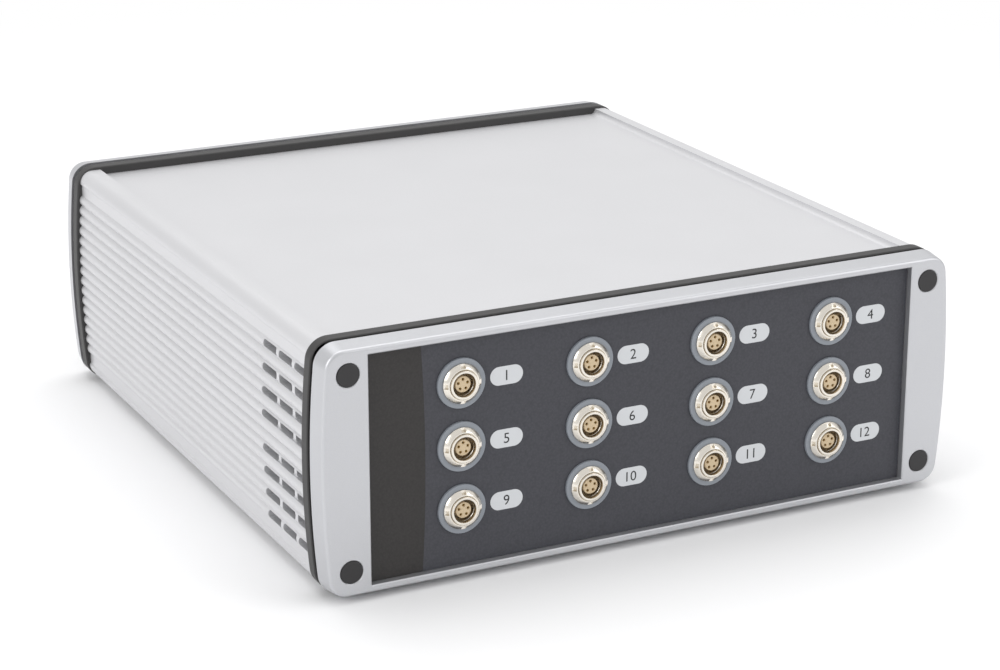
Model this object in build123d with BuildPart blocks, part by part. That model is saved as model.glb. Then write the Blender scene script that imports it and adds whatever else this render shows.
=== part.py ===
from build123d import *
import math
import os

# A twelve-channel potentiostat in an extruded case. Millimetres, X to the right seen from the
# front, Y to the rear, Z up. The origin is on the table, under the middle of the case.

# Case outline, shared by the bezels and the seals
case_depth = 235.5
half_width = 110.6
half_height = 39.4
crown_radius = 332.0
outline_corner = 7.0
table_gap = 1.6

# Bezels
bezel_depth = 7.0
bezel_draft = 1.0
bezel_edge_radius = 1.0
side_frame = 16.1
top_frame = 3.2
opening_chamfer = 0.3
recess_depth = 2.5

# Panels and the foil on the front one
overlay_thickness = 0.25
overlay_clearance = 0.1
panel_thickness = 2.0
panel_lap_x = 1.7
panel_lap_z = 1.0
panel_clearance = 0.2

# Screws that close the case, under caps at the four corners of each bezel
screw_inset_x = 9.7
screw_inset_z = 8.6
screw_radius = 1.5
screw_clearance = 0.2
screw_bite = 9.0
head_radius = 2.75
head_height = 2.0
head_clearance = 0.2
cap_radius = 3.6
cap_thickness = 1.5
cap_clearance = 0.05

# Screws that hold a panel in its bezel, with washer heads over the panel's edge
panel_screw_offset = 2.4
panel_screw_z = 14.0
panel_screw_radius = 1.25
panel_screw_length = 2.6
panel_head_radius = 3.3
panel_head_height = 1.6
thread_gap = 0.05

# Rubber seals: a flat ring between bezel and shell, and a skirt round the shell
seal_neck = 2.2
neck_inset = 1.5
skirt_length = 4.4
seal_screw_land = 3.9
seal_overhang = 1.0

# Extruded shell
shell_inset = 0.95
field_recess = 1.9
rail_width = 9.25
bead_radius = 4.5
bead_step = 0.45
bead_step_height = 0.6
plain_band = 3.67
lobes_per_half = 8
valley_depth = 1.0
side_wall = 2.8
field_wall = 2.5
channel_radius = 3.6
guide_reach = 3.0
guide_thickness = 1.2
guide_gap = 0.2

# Vent slots near the front of both sides
vent_lobes = (0, 2, 4, 6)
vents_per_row = 3
vent_length = 10.2
vent_height = 2.65
vent_corner = 0.9
vent_pitch = 12.15
vent_start = 12.3
vent_flat_depth = 2.1
vent_overrun = 0.5

# Feet
foot_radius = 7.0
foot_edge_radius = 1.0
foot_inset_x = 25.6
foot_inset_y = 22.75

# Sockets: places of the outer ones from the opening's edges, then the parts of one socket,
# measured outward from the foil's face
left_column_margin = 30.655
right_column_margin = 28.775
top_row_margin = 14.23
bottom_row_margin = 18.17
rim_proud = 2.8
thread_radius = 4.46
socket_bore_radius = 3.685
rim_chamfer = 0.15
washer_radius = 7.85
washer_thickness = 0.8
washer_chamfer = 0.2
spigot_radius = 5.1
spigot_length = 1.6
spigot_gap = 0.1
nut_radius = 6.28
nut_face_radius = 5.1
nut_edge = 0.45
nut_height = 1.55
nut_notch_width = 1.5
nut_notches = 4
back_washer_radius = 6.5
flange_radius = 6.0
flange_thickness = 1.5
socket_length = 17.5
socket_lip = 1.0
socket_lip_radius = 3.1
insert_proud = 1.65
insert_radius = 2.5
insert_stub = 5.2
insert_base_gap = 0.08
contact_count = 5
contact_ring_radius = 1.6
contact_radius = 0.42
contact_bore_radius = 0.25
contact_bore_depth = 4.0
contact_sink = 0.5
contact_gap = 0.05
contact_tail = 1.5

# Boards, their spacers and connectors
board_thickness = 1.6
board_gap = 12.75
upright_screw_gap = 15.9
upright_wall_gap = 2.05
spacer_inset_x = 5.0
spacer_inset_z = 2.7
spacer_radius = 2.5
spacer_bore_radius = 1.3
board_screw_length = 6.0
board_head_radius = 2.4
board_head_height = 1.6
board_drop = 6.0
board_edge_gap = 0.3
tongue_inset = 7.0
connector_depth = 8.5
connector_height = 5.0
connector_margin = 3.0
connector_slot_depth = 6.0
tongue_length = 7.0

# Rear connectors
inlet_z = -8.0
power_inset = 26.2
power_radius = 5.5
power_bore_radius = 3.2
power_bore_depth = 9.0
power_pin_radius = 1.05
data_offset = 26.0
data_width = 12.0
data_height = 11.0
data_wall = 1.2
data_depth = 9.0
data_tongue_width = 5.6
data_tongue_height = 3.2
inlet_gap = 0.3
inlet_proud = 0.5
earth_inset = 22.2
earth_collar_radius = 5.5
earth_bore_radius = 2.0
earth_bore_depth = 14.0
earth_thread_radius = 3.0
earth_length = 15.5
earth_nut_flat = 10.0
earth_nut_height = 3.0

# Places that follow from the sizes above
middle_z = half_height + table_gap
opening_half_width = half_width - side_frame
opening_half_height = half_height - top_frame
screw_x = half_width - screw_inset_x
screw_z = half_height - screw_inset_z
front_y = -case_depth / 2
face_y = front_y + recess_depth
panel_y = face_y + overlay_thickness
panel_back_y = panel_y + panel_thickness
bezel_back_y = front_y + bezel_depth
shell_y = bezel_back_y + seal_neck
front_wall = recess_depth + overlay_thickness
shell_half_width = half_width - shell_inset
shell_half_height = half_height - shell_inset
field_half_height = shell_half_height - field_recess
rail_inner_x = shell_half_width - rail_width
lobe_top = shell_half_height - bead_radius - bead_step_height - plain_band
lobe_pitch = lobe_top / lobes_per_half
vent_flat_x = half_width - vent_flat_depth
foot_x = half_width - foot_inset_x
foot_y = case_depth / 2 - foot_inset_y
panel_half_width = opening_half_width + panel_lap_x
panel_half_height = opening_half_height + panel_lap_z
panel_hole_radius = spigot_radius + spigot_gap
washer_y = face_y - washer_thickness
back_washer_y = panel_back_y + washer_thickness
board_y = panel_back_y + board_gap
board_back_y = board_y + board_thickness
cap_bottom = cap_thickness + cap_clearance
head_seat = cap_bottom + head_clearance + head_height
column_pitch = (2 * opening_half_width - left_column_margin - right_column_margin) / 3
row_pitch = (2 * opening_half_height - top_row_margin - bottom_row_margin) / 2
columns = [left_column_margin - opening_half_width + index * column_pitch for index in range(4)]
rows = [opening_half_height - top_row_margin - index * row_pitch for index in range(3)]
socket_places = [(x, z) for z in rows for x in columns]
board_levels = [z - board_drop for z in rows]
upright_half_width = screw_x - upright_screw_gap
power_x = panel_half_width - power_inset
data_x = power_x - data_offset
earth_x = earth_inset - panel_half_width


def crown_x(half, z):
    """Half width of a side that bulges with the crown radius, at height z from the middle."""
    return half - crown_radius + math.sqrt(crown_radius**2 - z**2)


cavity_half_width = crown_x(shell_half_width, lobe_top) - valley_depth - side_wall
cavity_half_height = field_half_height - field_wall
upright_half_height = cavity_half_height - upright_wall_gap
spacer_pitch_x = upright_half_width - spacer_inset_x
spacer_pitch_z = 2 * (upright_half_height - spacer_inset_z)
tongue_half_width = upright_half_width - tongue_inset


def across(y, x=0.0, z=0.0):
    """Plane square to Y. Its own x is X and its own y is Z, and a positive extrusion goes forward."""
    return Plane(origin=(x, y, middle_z + z), x_dir=(1, 0, 0), z_dir=(0, -1, 0))


def case_outline(half_w, half_h, corner):
    """Rectangle with crowned upright sides and round corners."""
    side_x = crown_x(half_w, half_h)
    with BuildSketch() as outline:
        with BuildLine():
            Line((-side_x, half_h), (side_x, half_h))
            ThreePointArc((side_x, half_h), (half_w, 0), (side_x, -half_h))
            Line((side_x, -half_h), (-side_x, -half_h))
            ThreePointArc((-side_x, -half_h), (-half_w, 0), (-side_x, half_h))
        make_face()
        fillet(outline.vertices(), corner)
    return outline.sketch


def shell_outline():
    """Outer profile of the shell: recessed field, rail, corner bead, plain band and ribbed side."""
    bead_z = shell_half_height - bead_radius
    bead_x = crown_x(shell_half_width, bead_z) - bead_radius
    band_top = (bead_x + bead_radius - bead_step, bead_z - bead_step_height)
    cove_x = rail_inner_x - field_recess
    slant = math.sqrt(0.5)
    with BuildSketch() as outline:
        with BuildLine():
            Line((0, field_half_height), (cove_x, field_half_height))
            ThreePointArc(
                (cove_x, field_half_height),
                (cove_x + field_recess * slant, shell_half_height - field_recess * slant),
                (rail_inner_x, shell_half_height),
            )
            Line((rail_inner_x, shell_half_height), (bead_x, shell_half_height))
            ThreePointArc(
                (bead_x, shell_half_height),
                (bead_x + bead_radius * slant, bead_z + bead_radius * slant),
                (bead_x + bead_radius, bead_z),
            )
            Line((bead_x + bead_radius, bead_z), band_top)
            Line(band_top, (crown_x(shell_half_width, lobe_top) - valley_depth, lobe_top))
            for index in range(lobes_per_half):
                upper = lobe_top - index * lobe_pitch
                middle = upper - lobe_pitch / 2
                lower = upper - lobe_pitch
                ThreePointArc(
                    (crown_x(shell_half_width, upper) - valley_depth, upper),
                    (crown_x(shell_half_width, middle), middle),
                    (crown_x(shell_half_width, lower) - valley_depth, lower),
                )
            mirror(about=Plane.XZ)
            mirror(about=Plane.YZ)
        make_face()
    return outline.sketch


def cavity_outline():
    """Inside of the shell, without the corner screw channels and the board guides."""
    corner_w = 2 * (cavity_half_width - screw_x)
    corner_h = 2 * (cavity_half_height - screw_z)
    guide_offset = board_thickness / 2 + guide_gap + guide_thickness / 2
    with BuildSketch() as outline:
        Rectangle(2 * cavity_half_width, 2 * cavity_half_height)
        with GridLocations(2 * screw_x, 2 * screw_z, 2, 2):
            Circle(channel_radius, mode=Mode.SUBTRACT)
        with GridLocations(2 * cavity_half_width, 2 * cavity_half_height, 2, 2):
            Rectangle(corner_w, corner_h, mode=Mode.SUBTRACT)
        for level in board_levels:
            with Locations((0, level)):
                with GridLocations(2 * cavity_half_width, 2 * guide_offset, 2, 2):
                    Rectangle(2 * guide_reach, guide_thickness, mode=Mode.SUBTRACT)
    return outline.sketch


def turned(profile, x=0.0, z=0.0):
    """Solid turned about a line along Y at (x, z), from points of (y, radius)."""
    plane = Plane(origin=(x, 0, middle_z + z), x_dir=(0, 1, 0), z_dir=(1, 0, 0))
    with BuildPart() as piece:
        with BuildSketch(plane):
            with BuildLine():
                Polyline(*profile, close=True)
            make_face()
        revolve(axis=Axis((x, 0, middle_z + z), (0, 1, 0)))
    return piece.part


def save(part, name):
    """Label a finished piece and write it to its own file."""
    part.label = name
    export_step(part, f"parts/{name}.step")


def save_pair(part, front_name, rear_name):
    """Save a front piece, and its mirror image as the rear one."""
    save(part, front_name)
    with BuildPart() as rear:
        mirror(part, about=Plane.XZ)
    save(rear.part, rear_name)


os.makedirs("parts", exist_ok=True)

# Shell: one closed extrusion, with its vent slots milled afterwards
with BuildPart() as shell:
    with BuildSketch(across(-shell_y)):
        add(shell_outline())
        add(cavity_outline(), mode=Mode.SUBTRACT)
        with GridLocations(2 * screw_x, 2 * screw_z, 2, 2):
            Circle(screw_radius + thread_gap, mode=Mode.SUBTRACT)
    extrude(amount=-2 * shell_y)
    vent_run = (vents_per_row - 1) * vent_pitch + vent_length
    vent_middle_y = front_y + vent_start + vent_run / 2
    vent_heights = [lobe_top - (lobe + 0.5) * lobe_pitch for lobe in vent_lobes]
    vent_levels = [sign * height for height in vent_heights for sign in (1, -1)]
    for side in (-1, 1):
        wall_place = (side * half_width, vent_middle_y, middle_z)
        wall = Plane(origin=wall_place, x_dir=(0, 1, 0), z_dir=(side, 0, 0))
        with BuildSketch(wall):
            with Locations(*[(0, level) for level in vent_levels]):
                RectangleRounded(vent_run, vent_height, vent_corner)
        extrude(amount=vent_flat_x - half_width, mode=Mode.SUBTRACT)
        with BuildSketch(wall):
            with Locations(*[(0, level) for level in vent_levels]):
                with GridLocations(vent_pitch, vent_pitch, vents_per_row, 1):
                    RectangleRounded(vent_length, vent_height, vent_corner)
        extrude(amount=cavity_half_width - vent_overrun - half_width, mode=Mode.SUBTRACT)
save(shell.part, "shell")

# Bezel: a drafted frame with the panel's pocket behind its front wall
with BuildPart() as bezel:
    with BuildSketch(across(bezel_back_y)):
        add(case_outline(half_width, half_height, outline_corner))
    with BuildSketch(across(front_y)):
        face_corner = outline_corner - bezel_draft
        add(case_outline(half_width - bezel_draft, half_height - bezel_draft, face_corner))
    loft(ruled=True)
    fillet(bezel.faces().sort_by(Axis.Y)[0].edges(), bezel_edge_radius)
    with BuildSketch(across(front_y)):
        Rectangle(2 * opening_half_width, 2 * opening_half_height)
    extrude(amount=-bezel_depth, mode=Mode.SUBTRACT)
    with BuildSketch(across(front_y)):
        with GridLocations(2 * screw_x, 2 * screw_z, 2, 2):
            Circle(cap_radius + cap_clearance)
    extrude(amount=-cap_bottom, mode=Mode.SUBTRACT)
    face_edges = [wire.edges() for wire in bezel.faces().sort_by(Axis.Y)[0].inner_wires()]
    chamfer([edge for edges in face_edges for edge in edges], opening_chamfer)
    with BuildSketch(across(front_y + cap_bottom)):
        with GridLocations(2 * screw_x, 2 * screw_z, 2, 2):
            Circle(head_radius + head_clearance)
    extrude(amount=cap_bottom - head_seat, mode=Mode.SUBTRACT)
    with BuildSketch(across(front_y + head_seat)):
        with GridLocations(2 * screw_x, 2 * screw_z, 2, 2):
            Circle(screw_radius + screw_clearance)
    extrude(amount=head_seat - bezel_depth, mode=Mode.SUBTRACT)
    with BuildSketch(across(panel_y)):
        Rectangle(2 * (panel_half_width + panel_clearance), 2 * (panel_half_height + panel_clearance))
    extrude(amount=front_wall - bezel_depth, mode=Mode.SUBTRACT)
    with BuildSketch(across(panel_back_y)):
        with GridLocations(2 * (panel_half_width + panel_screw_offset), 2 * panel_screw_z, 2, 2):
            Circle(panel_head_radius + head_clearance)
    extrude(amount=panel_back_y - bezel_back_y, mode=Mode.SUBTRACT)
    with BuildSketch(across(panel_back_y)):
        with GridLocations(2 * (panel_half_width + panel_screw_offset), 2 * panel_screw_z, 2, 2):
            Circle(panel_screw_radius + thread_gap)
    extrude(amount=panel_screw_length + thread_gap, mode=Mode.SUBTRACT)
save_pair(bezel.part, "front_bezel", "rear_bezel")

# Seal: the flat ring, and the skirt whose inside follows the shell's profile
with BuildPart() as seal:
    with BuildSketch(across(shell_y)):
        neck_corner = outline_corner - neck_inset
        add(case_outline(half_width - neck_inset, half_height - neck_inset, neck_corner))
        ring_half_width = screw_x - seal_screw_land
        ring_half_height = cavity_half_height - seal_overhang
        Rectangle(2 * ring_half_width, 2 * ring_half_height, mode=Mode.SUBTRACT)
        with GridLocations(2 * screw_x, 2 * screw_z, 2, 2):
            Circle(screw_radius + screw_clearance, mode=Mode.SUBTRACT)
    extrude(amount=seal_neck)
    with BuildSketch(across(shell_y + skirt_length)):
        add(case_outline(half_width, half_height, outline_corner))
        add(shell_outline(), mode=Mode.SUBTRACT)
    extrude(amount=skirt_length)
save_pair(seal.part, "front_seal", "rear_seal")

# Front panel, with a hole for each socket
with BuildPart() as front_panel:
    with BuildSketch(across(panel_back_y)):
        Rectangle(2 * panel_half_width, 2 * panel_half_height)
        with Locations(*socket_places):
            Circle(panel_hole_radius, mode=Mode.SUBTRACT)
    extrude(amount=panel_thickness)
save(front_panel.part, "front_panel")

# Foil on the front panel, inside the bezel's opening
with BuildPart() as front_overlay:
    with BuildSketch(across(panel_y)):
        overlay_width = 2 * (opening_half_width - overlay_clearance)
        overlay_height = 2 * (opening_half_height - overlay_clearance)
        Rectangle(overlay_width, overlay_height)
        with Locations(*socket_places):
            Circle(panel_hole_radius, mode=Mode.SUBTRACT)
    extrude(amount=overlay_thickness)
save(front_overlay.part, "front_overlay")

# Rear panel, with its three cutouts
with BuildPart() as rear_panel:
    with BuildSketch(across(-panel_y)):
        Rectangle(2 * panel_half_width, 2 * panel_half_height)
        with Locations((power_x, inlet_z)):
            Circle(power_radius + inlet_gap, mode=Mode.SUBTRACT)
        with Locations((data_x, inlet_z)):
            Rectangle(data_width + 2 * inlet_gap, data_height + 2 * inlet_gap, mode=Mode.SUBTRACT)
        with Locations((earth_x, inlet_z)):
            Circle(earth_thread_radius + thread_gap, mode=Mode.SUBTRACT)
    extrude(amount=panel_thickness)
save(rear_panel.part, "rear_panel")

# Case screws: four at the front, four at the rear, each with a hexagon recess
screw_end_y = shell_y + screw_bite
with BuildPart() as bezel_screws:
    with BuildSketch(across(front_y + head_seat)):
        with GridLocations(2 * screw_x, 2 * screw_z, 2, 2):
            Circle(head_radius)
            RegularPolygon(head_radius / 2, 6, mode=Mode.SUBTRACT)
    extrude(amount=head_height)
    with BuildSketch(across(screw_end_y)):
        with GridLocations(2 * screw_x, 2 * screw_z, 2, 2):
            Circle(screw_radius)
    extrude(amount=screw_end_y - front_y - head_seat + head_height / 3)
    mirror(about=Plane.XZ)
save(bezel_screws.part, "bezel_screws")

# Caps over those screws
with BuildPart() as screw_caps:
    with BuildSketch(across(front_y + cap_thickness + cap_clearance)):
        with GridLocations(2 * screw_x, 2 * screw_z, 2, 2):
            Circle(cap_radius)
    extrude(amount=cap_thickness)
    mirror(about=Plane.XZ)
save(screw_caps.part, "screw_caps")

# Panel screws, from behind into the bezels
with BuildPart() as panel_screws:
    with BuildSketch(across(panel_back_y + panel_head_height)):
        with GridLocations(2 * (panel_half_width + panel_screw_offset), 2 * panel_screw_z, 2, 2):
            Circle(panel_head_radius)
            RegularPolygon(panel_screw_radius, 6, mode=Mode.SUBTRACT)
    extrude(amount=panel_head_height)
    with BuildSketch(across(panel_back_y + panel_head_height / 3)):
        with GridLocations(2 * (panel_half_width + panel_screw_offset), 2 * panel_screw_z, 2, 2):
            Circle(panel_screw_radius)
    extrude(amount=panel_screw_length + panel_head_height / 3)
    mirror(about=Plane.XZ)
save(panel_screws.part, "panel_screws")

# Feet, stuck to the recessed field under the shell
foot_places = [(-foot_x, -foot_y), (foot_x, -foot_y), (-foot_x, foot_y), (foot_x, foot_y)]
for number, place in enumerate(foot_places, 1):
    with BuildPart() as foot:
        with BuildSketch():
            with Locations(place):
                Circle(foot_radius)
        extrude(amount=middle_z - field_half_height)
        fillet(foot.edges().group_by(Axis.Z)[0], foot_edge_radius)
    save(foot.part, f"foot_{number}")

# Sockets: threaded body with a flange behind the panel and a bore for the plug
rim_y = face_y - rim_proud
socket_end_y = rim_y + socket_length
flange_end_y = back_washer_y + flange_thickness
insert_y = face_y - insert_proud
insert_base_y = insert_y + insert_stub
insert_end_y = socket_end_y - socket_lip
socket_profile = [
    (rim_y, socket_bore_radius + rim_chamfer),
    (rim_y, thread_radius - rim_chamfer),
    (rim_y + rim_chamfer, thread_radius),
    (back_washer_y, thread_radius),
    (back_washer_y, flange_radius),
    (flange_end_y, flange_radius),
    (flange_end_y, thread_radius),
    (socket_end_y, thread_radius),
    (socket_end_y, socket_lip_radius),
    (insert_end_y, socket_lip_radius),
    (insert_end_y, socket_bore_radius),
    (rim_y + rim_chamfer, socket_bore_radius),
]
insert_base_radius = socket_bore_radius - insert_base_gap
for number, (x, z) in enumerate(socket_places, 1):
    save(turned(socket_profile, x, z), f"socket_shell_{number}")
    halves = []
    half_sizes = [
        (insert_base_y, insert_base_y - insert_y, insert_radius),
        (insert_end_y, insert_end_y - insert_base_y, insert_base_radius),
    ]
    for end_y, half_length, half_radius in half_sizes:
        with BuildPart() as insert_half:
            with BuildSketch(across(end_y, x, z)):
                Circle(half_radius)
                with PolarLocations(contact_ring_radius, contact_count, start_angle=90):
                    Circle(contact_radius + contact_gap, mode=Mode.SUBTRACT)
            extrude(amount=half_length)
        halves.append(insert_half.solid())
    save(Compound(halves), f"socket_insert_{number}")

# One set of contacts: tubes at the front, solid where they pass through the board
contact_y = insert_y + contact_sink
contact_end_y = board_back_y + contact_tail
with BuildPart() as contact_set:
    with BuildSketch(across(contact_end_y)):
        with PolarLocations(contact_ring_radius, contact_count, start_angle=90):
            Circle(contact_radius)
    extrude(amount=contact_end_y - contact_y)
    with BuildSketch(across(contact_y)):
        with PolarLocations(contact_ring_radius, contact_count, start_angle=90):
            Circle(contact_bore_radius)
    extrude(amount=-contact_bore_depth, mode=Mode.SUBTRACT)

# One insulating washer, with a spigot that keeps the thread off the panel
washer_profile = [
    (face_y, washer_radius),
    (washer_y + washer_chamfer, washer_radius),
    (washer_y, washer_radius - washer_chamfer),
    (washer_y, thread_radius + spigot_gap),
    (face_y + spigot_length, thread_radius + spigot_gap),
    (face_y + spigot_length, spigot_radius),
    (face_y, spigot_radius),
]
front_washer = turned(washer_profile)

# One flat washer between the panel and a socket's flange
back_washer_profile = [
    (panel_back_y, thread_radius + spigot_gap),
    (panel_back_y, back_washer_radius),
    (back_washer_y, back_washer_radius),
    (back_washer_y, thread_radius + spigot_gap),
]
back_washer = turned(back_washer_profile)

# One round nut with a coned face and spanner notches
nut_front_y = washer_y - nut_height
nut_profile = [
    (washer_y, thread_radius + thread_gap),
    (washer_y, nut_radius),
    (washer_y - nut_edge, nut_radius),
    (nut_front_y, nut_face_radius),
    (nut_front_y, thread_radius + 2 * rim_chamfer),
    (nut_front_y + 2 * rim_chamfer, thread_radius + thread_gap),
]
with BuildPart() as nut:
    add(turned(nut_profile))
    with BuildSketch(across(washer_y - nut_edge)):
        with PolarLocations(nut_radius, nut_notches):
            Rectangle(2 * (nut_radius - nut_face_radius), nut_notch_width)
    extrude(amount=nut_height, mode=Mode.SUBTRACT)

# The small repeated pieces, one of each at every socket
repeated = {
    "socket_contacts": contact_set.part,
    "socket_washers": front_washer,
    "back_washers": back_washer,
    "socket_nuts": nut.part,
}
for name, single in repeated.items():
    with BuildPart() as group:
        with Locations(*[(x, 0, z) for x, z in socket_places]):
            add(single)
    save(group.part, name)

# Upright board behind the sockets
with BuildPart() as socket_board:
    with BuildSketch(across(board_back_y)):
        Rectangle(2 * upright_half_width, 2 * upright_half_height)
        with GridLocations(spacer_pitch_x, spacer_pitch_z, 3, 2):
            Circle(spacer_bore_radius + screw_clearance, mode=Mode.SUBTRACT)
        with Locations(*socket_places):
            with PolarLocations(contact_ring_radius, contact_count, start_angle=90):
                Circle(contact_radius + 2 * contact_gap, mode=Mode.SUBTRACT)
    extrude(amount=board_thickness)
save(socket_board.part, "socket_board")

# Upright board at the rear, with its chips and capacitors facing the panel
chip_height = 1.8
chip_pitch_x = 30.0
chip_pitch_z = 24.0
chip_size = 12.0
chip_data_gap = 54.0
capacitor_gap_x = 17.0
capacitor_z = 4.0
capacitor_pitch_x = 10.0
capacitor_pitch_z = 12.0
capacitor_radius = 4.0
capacitor_height = 9.0
with BuildPart() as controller_board:
    with BuildSketch(across(-board_y)):
        Rectangle(2 * upright_half_width, 2 * upright_half_height)
        with GridLocations(spacer_pitch_x, spacer_pitch_z, 3, 2):
            Circle(spacer_bore_radius + screw_clearance, mode=Mode.SUBTRACT)
    extrude(amount=board_thickness)
    with BuildSketch(across(-board_y)):
        with Locations((data_x - chip_data_gap, rows[1])):
            with GridLocations(chip_pitch_x, chip_pitch_z, 3, 2):
                Rectangle(chip_size, chip_size)
    extrude(amount=-chip_height)
    with BuildSketch(across(-board_y)):
        with Locations((earth_x + capacitor_gap_x, capacitor_z)):
            with GridLocations(capacitor_pitch_x, capacitor_pitch_z, 2, 2):
                Circle(capacitor_radius)
    extrude(amount=-capacitor_height)
save(controller_board.part, "controller_board")

# Spacers between each panel and its upright board
with BuildPart() as board_standoffs:
    with BuildSketch(across(board_y)):
        with GridLocations(spacer_pitch_x, spacer_pitch_z, 3, 2):
            Circle(spacer_radius)
            Circle(spacer_bore_radius, mode=Mode.SUBTRACT)
    extrude(amount=board_gap)
    mirror(about=Plane.XZ)
save(board_standoffs.part, "board_standoffs")

# Screws that hold the upright boards on those spacers
with BuildPart() as board_screws:
    with BuildSketch(across(board_back_y + board_head_height)):
        with GridLocations(spacer_pitch_x, spacer_pitch_z, 3, 2):
            Circle(board_head_radius)
            RegularPolygon(spacer_bore_radius, 6, mode=Mode.SUBTRACT)
    extrude(amount=board_head_height)
    with BuildSketch(across(board_back_y + board_head_height / 3)):
        with GridLocations(spacer_pitch_x, spacer_pitch_z, 3, 2):
            Circle(spacer_bore_radius - thread_gap)
    extrude(amount=board_screw_length + board_head_height / 3)
    mirror(about=Plane.XZ)
save(board_screws.part, "board_screws")

# Channel boards, slid into the shell's guides, with four screened channels each
board_half_width = cavity_half_width - board_edge_gap
tongue_y = board_back_y + connector_depth - connector_slot_depth
shoulder_y = tongue_y + tongue_length
can_width = 34.0
can_length = 70.0
can_height = 6.0
can_pitch = 44.0
can_y = -35.0
chip_rows_y = 45.0
for number, level in enumerate(board_levels, 1):
    flat = Plane.XY.offset(middle_z + level - board_thickness / 2)
    top = Plane.XY.offset(middle_z + level + board_thickness / 2)
    with BuildPart() as channel_board:
        with BuildSketch(flat):
            Rectangle(2 * board_half_width, -2 * shoulder_y)
            Rectangle(2 * tongue_half_width, -2 * tongue_y)
        extrude(amount=board_thickness)
        with BuildSketch(top):
            with Locations((0, can_y)):
                with GridLocations(can_pitch, can_length, 4, 1):
                    Rectangle(can_width, can_length)
        extrude(amount=can_height)
        with BuildSketch(top):
            with Locations((0, chip_rows_y)):
                with GridLocations(can_pitch, 2 * chip_size, 4, 3):
                    Rectangle(chip_size, chip_size)
        extrude(amount=chip_height)
    save(channel_board.part, f"channel_board_{number}")

    # Connectors on the upright boards that take the front and rear edges of this board
    with BuildPart() as connector:
        with BuildSketch(across(board_back_y + connector_depth, 0, level)):
            Rectangle(2 * (tongue_half_width + connector_margin), connector_height)
        extrude(amount=connector_depth)
        with BuildSketch(across(board_back_y + connector_depth, 0, level)):
            Rectangle(2 * (tongue_half_width + guide_gap), board_thickness + 2 * guide_gap)
        extrude(amount=connector_slot_depth, mode=Mode.SUBTRACT)
    save_pair(connector.part, f"front_connector_{number}", f"rear_connector_{number}")

# Power inlet: a round body on the controller board, open to the rear round a centre pin
inlet_face_y = -panel_y + inlet_proud
with BuildPart() as power_inlet:
    with BuildSketch(across(inlet_face_y, power_x, inlet_z)):
        Circle(power_radius)
    extrude(amount=inlet_face_y + board_y)
    with BuildSketch(across(inlet_face_y, power_x, inlet_z)):
        Circle(power_bore_radius)
        Circle(power_pin_radius, mode=Mode.SUBTRACT)
    extrude(amount=power_bore_depth, mode=Mode.SUBTRACT)
save(power_inlet.part, "power_inlet")

# Data socket: a square metal shell with its contact tongue
with BuildPart() as data_socket:
    with BuildSketch(across(inlet_face_y, data_x, inlet_z)):
        Rectangle(data_width, data_height)
    extrude(amount=inlet_face_y + board_y)
    with BuildSketch(across(inlet_face_y, data_x, inlet_z)):
        Rectangle(data_width - 2 * data_wall, data_height - 2 * data_wall)
        Rectangle(data_tongue_width, data_tongue_height, mode=Mode.SUBTRACT)
    extrude(amount=data_depth, mode=Mode.SUBTRACT)
save(data_socket.part, "data_socket")

# Earth socket, as far proud of its bezel as the front sockets are of theirs
earth_face_y = -rim_y
earth_profile = [
    (earth_face_y, earth_bore_radius),
    (earth_face_y, earth_collar_radius),
    (-panel_y, earth_collar_radius),
    (-panel_y, earth_thread_radius),
    (earth_face_y - earth_length, earth_thread_radius),
    (earth_face_y - earth_length, 0),
    (earth_face_y - earth_bore_depth, 0),
    (earth_face_y - earth_bore_depth, earth_bore_radius),
]
save(turned(earth_profile, earth_x, inlet_z), "earth_socket")

# Hexagon nut that holds the earth socket
with BuildPart() as earth_nut:
    with BuildSketch(across(-panel_back_y, earth_x, inlet_z)):
        RegularPolygon(earth_nut_flat / 2, 6, major_radius=False)
        Circle(earth_thread_radius + thread_gap, mode=Mode.SUBTRACT)
    extrude(amount=earth_nut_height)
save(earth_nut.part, "earth_nut")
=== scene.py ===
import math

import bmesh
import bpy
from bpy.props import FloatProperty, FloatVectorProperty, IntProperty, PointerProperty
from mathutils import Matrix, Vector


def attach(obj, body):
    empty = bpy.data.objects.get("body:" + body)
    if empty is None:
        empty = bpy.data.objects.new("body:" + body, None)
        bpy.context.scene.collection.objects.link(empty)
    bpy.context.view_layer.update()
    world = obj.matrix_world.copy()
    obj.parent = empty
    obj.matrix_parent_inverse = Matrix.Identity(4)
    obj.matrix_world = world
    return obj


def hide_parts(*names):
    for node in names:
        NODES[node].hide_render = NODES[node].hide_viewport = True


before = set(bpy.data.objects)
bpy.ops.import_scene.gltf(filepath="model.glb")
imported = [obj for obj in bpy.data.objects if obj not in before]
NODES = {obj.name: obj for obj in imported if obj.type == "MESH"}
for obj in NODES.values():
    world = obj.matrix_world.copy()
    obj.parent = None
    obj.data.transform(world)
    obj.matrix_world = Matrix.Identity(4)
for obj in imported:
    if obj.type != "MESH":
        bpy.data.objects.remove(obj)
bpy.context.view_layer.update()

bl_info = {
    "name": "Bench Potentiostat",
    "version": (1, 0, 0),
    "blender": (4, 5, 0),
    "location": "3D View > Sidebar > Potentiostat",
    "description": "Finishes a twelve-channel potentiostat in a ribbed case, with its studio",
    "category": "Object",
}

MM = 0.001
CUT_SPARE = 1 * MM  # how far a cutter reaches beyond what it cuts
PRINT_SINK = 0.001 * MM  # how far the back of a print lies inside the foil
CHANNEL_END = 355  # angle in degrees at which a screw channel meets the side wall
# Steps of the arcs and circles
CORNER_STEPS = 14
SIDE_STEPS = 20
RIB_STEPS = 10
COVE_STEPS = 8
SLOT_STEPS = 5
EDGE_STEPS = 4
BEZEL_EDGE_STEPS = 6
SKIRT_EDGE_STEPS = 5
SCREW_STEPS = 16
CONTACT_STEPS = 20
CAP_HOLE_STEPS = 40
CAP_STEPS = 48
INSERT_STEPS = 64
TURN_STEPS = 96


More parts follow.
